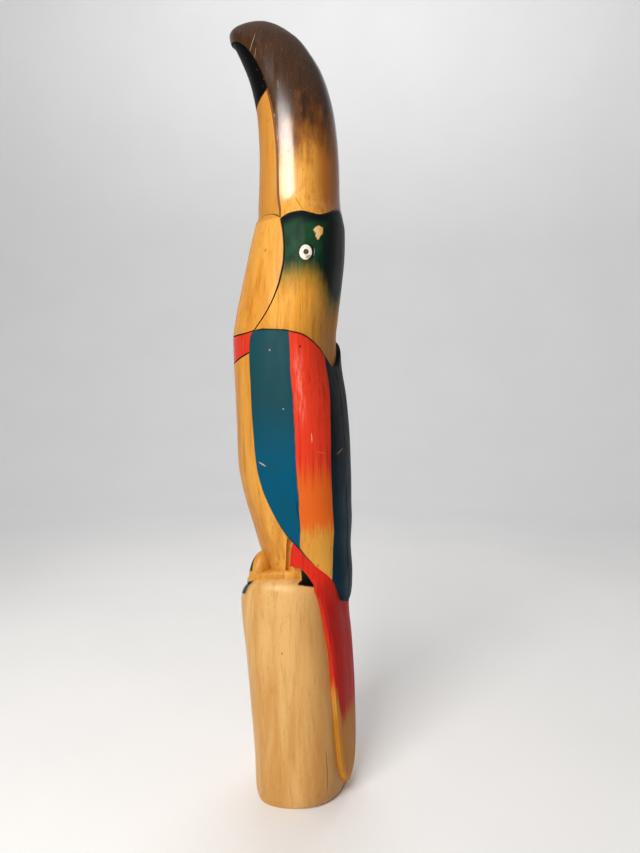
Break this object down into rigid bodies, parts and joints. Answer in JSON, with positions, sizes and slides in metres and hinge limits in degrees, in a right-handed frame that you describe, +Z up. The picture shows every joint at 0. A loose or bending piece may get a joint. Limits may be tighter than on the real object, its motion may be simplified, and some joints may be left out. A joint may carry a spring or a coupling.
{
  "type": "toucan sculpture",
  "caption": "Tall standing toucan carved in painted and varnished wood, beak raised, wings folded, perched on its own stump, with inlaid disc eyes.",
  "frame": {"origin": "on the ground, in the middle of the stump's underside", "axes": "+Z up, the bird looks along -Y, its left side is +X"},
  "size_m": [0.1468, 0.1762, 1.0488],
  "materials": {
    "carved_wood": "varnished and painted in teal, red, green and black",
    "eye_white": "satin",
    "pupil_black": "gloss"
  },
  "bodies": {
    "root": {"toucan": "carved_wood", "eye_left": "eye_white", "eye_right": "eye_white", "pupil_left": "pupil_black", "pupil_right": "pupil_black"}
  },
  "joints": []
}
